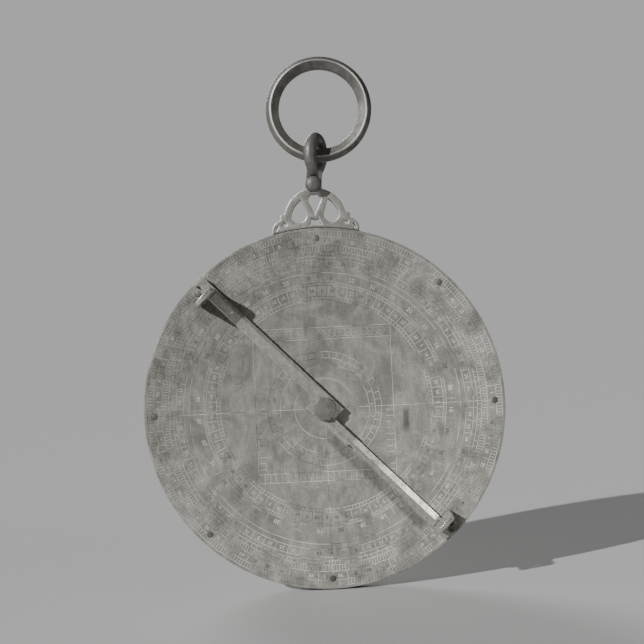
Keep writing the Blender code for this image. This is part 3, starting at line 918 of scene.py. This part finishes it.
# %% Shackle and its pin
def bow_curve():
    """Half the bow as (across, depth, height, thickness) in mm, and its other half."""
    leg = [
        (0.0, 5.95, -0.6, 2.3),
        (0.2, 5.95, 3.3, 2.5),
        (0.7, 7.8, 6.5, 5.0),
        (2.0, 9.0, 10.5, 6.1),
        (2.8, 9.2, 15.2, 6.5),
        (2.3, 7.4, 20.0, 6.3),
        (1.2, 4.0, 22.9, 5.8),
    ]
    other = [(-across, -depth, height, thick) for across, depth, height, thick in leg]
    return leg + [(0.0, 0.0, 23.75, 5.5)] + other[::-1]


def make_bow():
    curve = bpy.data.curves.new("bow", "CURVE")
    adjust(curve, dimensions="3D", use_fill_caps=True, resolution_u=8)
    adjust(curve, bevel_depth=0.5 * MM, bevel_resolution=6)
    spline = curve.splines.new("BEZIER")
    points = bow_curve()
    spline.bezier_points.add(len(points) - 1)
    for point, (across, depth, height, thick) in zip(spline.bezier_points, points):
        adjust(point, co=Vector((across, depth, height)) * MM, radius=thick)
        adjust(point, handle_left_type="AUTO", handle_right_type="AUTO")
    return weld(as_mesh("bow", curve))


def upright_eye(low, high, radius):
    """A short cylinder that lies along Y."""
    return rotate(cylinder(radius * MM, low, high, 40), math.pi / 2, 0, 0)


def make_shackle():
    bow = make_bow()
    eye_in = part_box("throne")[1][1] + 0.3 * MM
    eye_out = eye_in + 2.5 * MM
    for low, high, lean in ((eye_in, eye_out, 0.9), (-eye_out, -eye_in, -0.9)):
        combine(bow, upright_eye(low, high, 4.1), "UNION")
        middle = (lean * MM, (low + high) / 2, 4.2 * MM)
        combine(bow, block(middle, (6.0 * MM, high - low, 7.6 * MM)), "UNION")
    bow.data.remesh_voxel_size = 0.32 * MM
    only(bow)
    bpy.ops.object.voxel_remesh()
    smooth = bow.modifiers.new("Smooth", "SMOOTH")
    smooth.iterations = 5
    apply_modifiers(bow)
    past = eye_out + 3 * MM
    for low, high, radius in ((-eye_in, eye_in, 7.0), (eye_out, past, 4.3),
                              (-past, -eye_out, 4.3), (-20 * MM, 20 * MM, 1.85)):
        combine(bow, upright_eye(low, high, radius))
    stand(bow, PIVOT, Euler((0, LEAN, 0)))
    finish_piece(bow, 45, "forged_shackle", dark_metal, "shackle", "dark bronze", "shackle")


def make_pivot_pin():
    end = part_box("pivot_pin")[1][1] / MM
    face = end - 2.0
    side = [(0, end), (1.5, end - 0.1), (2.8, end - 0.45), (3.6, end - 1.0), (3.95, face + 0.4),
            (3.95, face), (1.5, face)]
    pin = lathe(in_mm(side + [(radius, -height) for radius, height in reversed(side)]), 40)
    stand(pin, PIVOT)
    finish_piece(pin, 40, "domed_pivot_pin", dark_metal, "shackle", "dark bronze", "pivot_pin")


make_shackle()
make_pivot_pin()

# %% [markdown]
# The throne is fretted out of thick brass and its edges are filed round. Its outline
# runs up from the rim by a lobe, a tooth and a round shoulder to the lug of the pivot,
# and the openings are a hanging drop between two leaves, a foot and two pinholes.


# %% Throne
def throne_outline(lug_height):
    saddle = arc((0, 0), RADIUS / MM + 0.3, 103.6, 76.4, 24)
    lobe = arc((15.9, 88.8), 5.9, -10, 74, 14)
    tooth = [(17.2, 95.0), (17.5, 95.8), (17.3, 96.7), (16.7, 97.3), (15.9, 97.3)]
    shoulder = arc((0, 94.5), 15.4, 12.5, 77, 26)
    lug = arc((0, lug_height), 3.9, -32, 90, 14)
    right = lobe + tooth + shoulder + lug
    return saddle + right + mirrored(right)[1:]


def throne_openings(lug_height):
    drop = arc((0, 104.4), 3.2, -28, 208, 24) + [(-1.0, 99.0), (0, 96.8), (1.0, 99.0)]
    leaf = arc((0, 94.5), 12.2, 57, 12, 12) + arc((8.2, 96.7), 3.9, -4, -205, 24)
    foot = [(-3.2, 91.6), (3.2, 91.6), (2.3, 93.4), (2.0, 95.2), (0, 94.2), (-2.0, 95.2), (-2.3, 93.4)]
    pinhole = circle((15.4, 92.4), 1.0, 16)
    slot = arc((15.9, 88.8), 4.3, 6, 46, 8) + arc((15.9, 88.8), 3.6, 46, 6, 8)
    twins = [leaf, pinhole, slot]
    return [drop, foot, circle((0, lug_height), 1.85, 24)] + twins + [mirrored(loop) for loop in twins]


def make_throne():
    lug_height = (PIVOT.z - CENTRE.z) / MM
    loops = [throne_outline(lug_height)] + throne_openings(lug_height)
    throne = sheet_metal(loops, BACK, FRONT, 0.6 * MM)
    stand(throne, (CENTRE.x, 0, CENTRE.z))
    finish_piece(throne, 40, "pierced_throne", throne_metal, "mater", "worn brass", "throne")


make_throne()

# %% [markdown]
# The alidade is a counter-changed rule: each arm lies on its own side of the line that is
# read. The lower arm is drawn in to a waist and the upper one is straight. Both are cut
# from sheet, and their bevels are taken off by long cutters, as a file would.


# %% Alidade
BAR_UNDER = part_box("alidade_bar")[1][1]
BAR_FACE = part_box("alidade_bar")[0][1]
BAR_HEIGHT = BAR_UNDER - BAR_FACE


def alidade_arm():
    bite = arc((86.1, 0), 1.9, 180, 360, 16)
    tip = [(88.9, 0), (88.75, -1.6), (88.4, -3.2), (88.0, -4.8), (87.4, -6.4)]
    return [(7.0, 0)] + bite + tip


def alidade_outline():
    arm = alidade_arm()
    waist = [(64.5, -6.4), (63.0, -6.2), (61.6, -5.6), (60.4, -4.9), (58.8, -4.6),
             (21.2, -4.6), (20.8, -4.75), (20.5, -5.2), (20.3, -5.9)]
    return [(7.0, 6.4)] + arm + waist + [(-7.0, -5.9)] + half_turned(arm)


def slope_tool(section, start, end):
    """A long cutter along the arm. section is its outline as (across, height) in mm."""
    return rotate(sheet_metal([section], start * MM, end * MM), math.pi / 2, 0, math.pi / 2)


def make_alidade():
    top = BAR_HEIGHT / MM
    bar = sheet_metal([alidade_outline(), circle((0, 0), 3.4)], 0, BAR_HEIGHT, 0.22 * MM)
    filed = [
        (0, [(-2.7, top), (0.5, top - 1.8), (0.5, top + 1), (-2.7, top + 1)], 21.0, 78.0),
        (0, [(-5.5, top - 0.8), (-4.1, top), (-4.1, top + 1), (-5.5, top + 1)], 21.6, 58.5),
        (math.pi, [(-0.8, top), (0.5, top - 1.1), (0.5, top + 1), (-0.8, top + 1)], 21.0, 78.0),
        (math.pi, [(-6.9, top - 1.0), (-4.9, top), (-4.9, top + 1), (-6.9, top + 1)], 15.0, 78.0),
    ]
    tools = [(half, slope_tool(section, start, end)) for half, section, start, end in filed]
    tenon = [(78.7, -1.4), (81.7, -1.4), (81.7, -5.2), (78.7, -5.2)]
    tools += [(half, sheet_metal([tenon], -MM, 9 * MM)) for half in (0, math.pi)]
    for half, tool in tools:
        combine(bar, rotate(tool, 0, 0, half))
    rotate(bar, 0, 0, ARM_ANGLE)
    stand(bar, (CENTRE.x, BAR_UNDER, CENTRE.z))
    finish_piece(bar, 28, "ridged_alidade", rubbed_metal, "alidade", "worn brass", "alidade_bar")


make_alidade()


# %% [markdown]
# A sighting vane stands on each arm. It is a thick plate with a wide and a narrow sight
# hole, one above the other, and its foot reaches down beside the arm on the far side of
# the reading line. Both vanes are the same piece, turned half round.


# %% Vanes
VANE_REACH = 80.2 * MM


def make_vane(name, node, half_turn):
    low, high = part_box(node)
    top = (BACK - low[1]) / MM
    seat = (BACK - BAR_FACE) / MM + 0.3
    wide = 5.6
    outline = [
        (-wide, top - 1.4), (-wide + 0.5, top - 0.5), (-wide + 1.4, top), (wide - 1.4, top),
        (wide - 0.5, top - 0.5), (wide, top - 1.4), (wide, 0.5), (0.3, 0.5), (0.3, seat),
        (-1.7, seat), (-1.7, 0.5), (-4.9, 0.5), (-4.9, seat), (-wide, seat),
    ]
    holes = [circle((0, top - 3.2), 1.2, 24), circle((0, top - 7.4), 0.7, 16)]
    vane = sheet_metal([outline] + holes, -1.2 * MM, 1.2 * MM, 0.28 * MM)
    stand(vane, (VANE_REACH, 0, 0), Euler((math.pi / 2, 0, math.pi / 2)))
    rotate(vane, 0, 0, ARM_ANGLE + half_turn)
    stand(vane, BACK_HOME)
    finish_piece(vane, 40, name, rubbed_metal, "alidade", "worn brass", node)


make_vane("lower_vane", "sighting_vane_lower", 0)
make_vane("upper_vane", "sighting_vane_upper", math.pi)


# %% [markdown]
# The pin's head is a flat eight-sided boss with a filed edge. The rivets were hammered
# into their seats, which leaves a low dome and a dark seam round each.


# %% Pin and rivets
PIN_HEAD = 1.9 * MM  # thickness of its head


def make_pin():
    low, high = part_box("pin")
    head_under = BACK - (low[1] + PIN_HEAD)
    head = cylinder(5.95 * MM, head_under, head_under + PIN_HEAD, 8)
    bevel(rotate(head, 0, 0, math.pi / 8), 0.4 * MM, 3)
    shaft_end = -(high[1] - BACK)
    shaft = cylinder(3.0 * MM, shaft_end, head_under + 0.2 * MM, 40)
    bevel(shaft, 0.5 * MM)
    combine(head, shaft, "UNION")
    washer_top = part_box("washer")[1][1]
    near, far = washer_top + 0.1 * MM, washer_top + 3.5 * MM
    combine(head, block((0, 0, BACK - (near + far) / 2), (12 * MM, 2.3 * MM, far - near)))
    stand(head, BACK_HOME)
    finish_piece(head, 30, "eight_sided_pin", pin_metal, "pin", "worn brass", "pin")


def make_rivets():
    deep = (FRONT - BACK) / MM
    profile = [(0, 0.14), (0.8, 0.10), (1.35, 0.0), (1.55, -0.12), (1.55, -1.9), (0.95, -1.9),
               (0.95, -deep + 0.1), (0.7, -deep - 0.08), (0, -deep - 0.14)]
    first = lathe(in_mm(profile), 24)
    for number, (x, y) in enumerate(rivet_places(), start=1):
        rivet = first.copy()
        rivet.data = first.data.copy()
        bpy.context.scene.collection.objects.link(rivet)
        stand(rivet, (CENTRE.x + x, BACK, CENTRE.z + y))
        node = f"limb_rivet_{number}"
        finish_piece(rivet, 40, f"hammered_rivet_{number}", rivet_metal, "mater", "copper rivet", node)
    bpy.data.objects.remove(first, do_unlink=True)


# The pin's brass is darker than the rest: a painted reflection of the dim room in its smooth head.
pin_metal = old_metal("pin brass", (0.26, 0.25, 0.225), (0.11, 0.104, 0.094), 0.5, 0.34)
make_pin()
make_rivets()

# %% [markdown]
# The far side. The limb is the raised rim round the womb, with its own degrees and a
# notch for the plates' lugs. Faces that look forwards are made on the bench in the same
# way and are stood up the other way round.


# %% Limb
def place_front(piece, face):
    stand(piece, (CENTRE.x, face, CENTRE.z), STAND_FRONT)


def make_limb():
    womb = 79.6
    height = FRONT - LIMB_INSIDE
    limb = cylinder(RADIUS, -height, 0, ROUND)
    bevel(limb, 0.35 * MM)
    combine(limb, cylinder(womb * MM, -20 * MM, 20 * MM, ROUND))
    combine(limb, block((0, (womb + 1.0) * MM, 0), (5.0 * MM, 4.0 * MM, 30 * MM)))
    drill(limb, rivet_places(-1), 1.1 * MM)
    cut_rings(limb, (88.6, 86.7, 83.1, 80.6))
    cut_rows(limb, [(360, 86.9, 88.4, 0.0), (72, 83.3, 86.5, 0.0)])
    labels = [str(value) for value in range(5, 365, 5)]
    engrave(limb, [text_tools(labels, 84.9 * MM, 2.5 * MM, 5.0, 87.5, squeeze=0.8)])
    place_front(limb, FRONT)
    finish_piece(limb, 28, "divided_limb", front_metal, "mater", "worn brass", "limb_ring")


make_limb()

# %% [markdown]
# Each plate carries the sky's fixed lines for one latitude: the tropics and the equator
# round the middle, and circles of equal height above the horizon, worked out by the
# projection that the instrument rests on. Only the top plate can be seen, but every plate
# is a thin disc with a lug, so all four are made alike.

# %% Latitude plates
OBLIQUITY = math.radians(23.44)
LATITUDE = math.radians(34.0)


def plate_outline(radius, lug):
    half = math.degrees(math.asin(2.1 / radius))
    rim = arc((0, 0), radius, 90 + half, 450 - half, 180)
    return rim + arc((0, 0), radius + lug, 90 - half, 90 + half, 3)


def sky_circles(outer):
    """Height circles as (middle, radius) in mm. The equator's size follows from the rim's."""
    equator = outer * math.tan((math.pi / 2 - OBLIQUITY) / 2)
    circles = []
    for degrees in range(0, 85, 6):
        height = math.radians(degrees)
        below = math.sin(LATITUDE) + math.sin(height)
        circles.append((equator * math.cos(LATITUDE) / below, equator * math.cos(height) / below))
    return equator, circles


def engrave_sky(plate, outer):
    equator, circles = sky_circles(outer)
    tropic = equator * math.tan((math.pi / 2 - OBLIQUITY) / 2)
    cut_rings(plate, (outer - 1.2, equator, tropic))
    for nest in (circles[0::2], circles[1::2]):
        engrave(plate, [ring_tool(radius * MM, FINE, (0, -middle * MM)) for middle, radius in nest])
    engrave(plate, [bar_tool((-outer * MM, 0), (outer * MM, 0))])
    engrave(plate, [bar_tool((0, -outer * MM), (0, outer * MM))])


def make_plates():
    for number in range(1, 5):
        node = f"latitude_plate_{number}"
        low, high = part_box(node)
        radius = (high[0] - low[0]) / 2 / MM
        plate = sheet_metal([plate_outline(radius, 2.8), circle((0, 0), 3.4)], low[1] - high[1], 0)
        material = plain_metal
        if number == 4:
            engrave_sky(plate, radius)
            material = plate_metal
        place_front(plate, high[1])
        finish_piece(plate, 28, f"sky_plate_{number}", material, "mater", "worn brass", node)


plate_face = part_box("latitude_plate_4")[1][1]
plate_metal = old_metal(
    "engraved plate brass", CLEAN_BRASS, BRASS_SKIN, 0.55, 0.42, cuts=(plate_face / MM, -1.0, 0.16)
)
make_plates()

# %% [markdown]
# The rete is the map of the stars, fretted out of one thin sheet: a rim, the ring of the
# ecliptic, bars, and a pointer for each star. Each strip is cut with filed edges and they
# are joined into one piece, then the ecliptic gets its divisions.

# %% Rete
RETE_LOW, RETE_HIGH = (Vector(corner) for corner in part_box("rete"))
KNOB_NODES = [f"rete_knob_{number}" for number in range(1, 5)]


def on_circle(middle, radius, angle):
    turn = math.radians(angle)
    return (middle[0] + radius * math.cos(turn), middle[1] + radius * math.sin(turn))


def pointer(root, direction, length, width, curl):
    """A dagger-shaped star pointer that grows from its root and curls to one side."""
    steps = 10
    left, right = [], []
    for i in range(steps):
        share = i / steps
        turn = math.radians(direction + curl * share)
        x = root[0] + length * share * math.cos(turn)
        y = root[1] + length * share * math.sin(turn)
        half = width * (0.5 + 0.35 * math.sin(math.pi * share)) * (1 - share * share)
        left.append((x - half * math.sin(turn), y + half * math.cos(turn)))
        right.append((x + half * math.sin(turn), y - half * math.cos(turn)))
    return right + [on_circle(root, length, direction + curl)] + left[::-1]


def rete_strips(outer):
    high = (0, 0.2845 * outer)
    ecliptic = 0.7015 * outer
    equator = 0.6565 * outer
    strips = [
        [circle(high, ecliptic, 144), circle(high, ecliptic - 5.2, 144)],
        [arc((0, 0), equator + 1.6, 196, 344, 60) + arc((0, 0), equator - 1.6, 344, 196, 60)],
        [circle((0, 0), 8.0, 48)],
        [[(-77.5, -1.9), (-6, -1.9), (-6, 1.9), (-77.5, 1.9)]],
        [[(6, -1.9), (77.5, -1.9), (77.5, 1.9), (6, 1.9)]],
        [[(-1.5, 5.5), (1.5, 5.5), (1.5, 75), (-1.5, 75)]],
        [[(-1.5, -77.5), (1.5, -77.5), (1.5, -5.5), (-1.5, -5.5)]],
    ]
    for angle in (222, 318):
        near = Vector(on_circle((0, 0), equator - 0.5, angle))
        far = Vector(on_circle((0, 0), outer - 2, angle))
        side = (far - near).orthogonal().normalized() * 1.4
        strips.append([[near - side, far - side, far + side, near + side]])
    return strips, high, ecliptic, equator


def rete_pointers(outer, high, ecliptic, equator):
    """Each star as (middle of its circle, radius, angle, turn of the root, length, curl)."""
    stars = [(high, ecliptic - 1.5, angle, 0, length, curl)
             for angle, length, curl in ((-28, 15, 38), (8, 11, -30), (172, 12, 32), (208, 15, -38))]
    stars += [(high, ecliptic - 4.0, angle, 180, length, curl)
              for angle, length, curl in ((-62, 17, 40), (28, 18, 34), (62, 15, -36),
                                          (118, 15, 36), (150, 18, -34), (242, 17, -40))]
    stars += [((0, 0), equator + 0.6, angle, 0, 14, curl)
              for angle, curl in ((205, 30), (255, -34), (285, 34), (335, -30))]
    stars += [((0, 0), outer - 2.0, angle, 180, 13, curl) for angle, curl in ((236, 34), (304, -34))]
    return [[pointer(on_circle(middle, radius, angle), angle + turn, length, 4.3, curl)]
            for middle, radius, angle, turn, length, curl in stars]


def make_rete():
    thick = RETE_HIGH.y - RETE_LOW.y
    outer = (RETE_HIGH.x - RETE_LOW.x) / 2 / MM
    edge = 0.2 * MM
    rete = sheet_metal([circle((0, 0), outer, 192), circle((0, 0), outer - 3.2, 144)], -thick, 0, edge)
    strips, high, ecliptic, equator = rete_strips(outer)
    for loops in strips + rete_pointers(outer, high, ecliptic, equator):
        strip = sheet_metal([mirrored(loop) for loop in loops], -thick, 0, edge)
        combine(rete, strip, "UNION")
    combine(rete, cylinder(3.4 * MM, -5 * MM, 5 * MM, 40))
    knobs = []
    for node in KNOB_NODES:
        low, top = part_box(node)
        knobs.append((CENTRE.x - (low[0] + top[0]) / 2, (low[2] + top[2]) / 2 - CENTRE.z))
    drill(rete, knobs, 1.15 * MM)
    up = high[1] * MM
    cut_rings(rete, (ecliptic - 1.0, ecliptic - 3.0, ecliptic - 4.4), (0, up))
    cut_rows(rete, [(180, ecliptic - 2.8, ecliptic - 1.2, 0.0)], up=up)
    cut_rows(rete, [(120, outer - 2.6, outer - 0.7, 1.5)])
    place_front(rete, RETE_HIGH.y)
    finish_piece(rete, 28, "fretted_rete", rete_metal, "rete", "worn brass", "rete")


rete_metal = old_metal(
    "rete brass", (0.56, 0.54, 0.50), (0.26, 0.245, 0.22), 0.4, 0.38, cuts=(RETE_HIGH.y / MM, -1.0, 0.16)
)
make_rete()

# %% [markdown]
# Small turned knobs of silver stand on the rete for the fingers. A washer and the horse,
# a wedge whose thick end is cut as a horse's head, lock the stack on the pin.


# %% Knobs, washer and horse
def make_knobs():
    for number, node in enumerate(KNOB_NODES, start=1):
        low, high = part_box(node)
        base = RETE_HIGH.y / MM + 0.3
        top = high[1] / MM
        profile = [(0, top), (0.45, top - 0.03), (0.95, top - 0.25), (1.35, top - 0.75), (1.4, top - 1.2),
                   (1.05, top - 1.75), (0.95, top - 2.1), (1.3, top - 2.45), (1.9, top - 2.7), (1.9, base),
                   (0.85, base), (0.85, low[1] / MM), (0, low[1] / MM)]
        knob = lathe(in_mm([(radius, height - base) for radius, height in profile]), 28)
        middle = ((low[0] + high[0]) / 2, base * MM, (low[2] + high[2]) / 2)
        stand(knob, middle, STAND_FRONT)
        finish_piece(knob, 40, f"silver_knob_{number}", silver_metal, "rete", "silver", node)


def make_washer():
    low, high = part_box("washer")
    thick = (high[1] - low[1]) / MM
    section = [(3.4, 0.15), (3.55, 0), (6.1, 0), (6.5, 0.3), (6.5, thick), (3.4, thick), (3.4, 0.15)]
    washer = lathe(in_mm([(radius, -height) for radius, height in section]), 64)
    place_front(washer, high[1])
    finish_piece(washer, 28, "turned_washer", rubbed_metal, "pin", "worn brass", "washer")


def make_horse():
    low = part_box("horse_wedge")[0]
    base = low[1] / MM
    outline = [(-9.5, 0.15), (-9.3, 0), (12.0, 0), (12.9, 0.2), (13.5, 0.9), (13.5, 1.7), (12.9, 2.3),
               (12.5, 3.0), (12.9, 3.7), (13.9, 4.2), (15.2, 4.35), (15.9, 4.8), (15.8, 5.4), (14.6, 6.1),
               (13.5, 6.7), (12.9, 7.1), (12.6, 7.8), (12.2, 7.2), (11.6, 6.9), (10.6, 6.2), (9.6, 5.1),
               (8.8, 4.0), (7.6, 3.3), (5.4, 2.9), (4.0, 2.6), (-9.2, 1.3), (-9.5, 1.1)]
    outline = [(x, height + base) for x, height in outline]
    eye = circle((13.3, base + 5.6), 0.3, 12)
    horse = sheet_metal([outline, eye], -0.85 * MM, 0.85 * MM, 0.22 * MM)
    stand(horse, (CENTRE.x, 0, CENTRE.z), Euler())
    finish_piece(horse, 40, "horse_headed_wedge", rubbed_metal, "horse", "worn brass", "horse_wedge")


make_knobs()
make_washer()
make_horse()
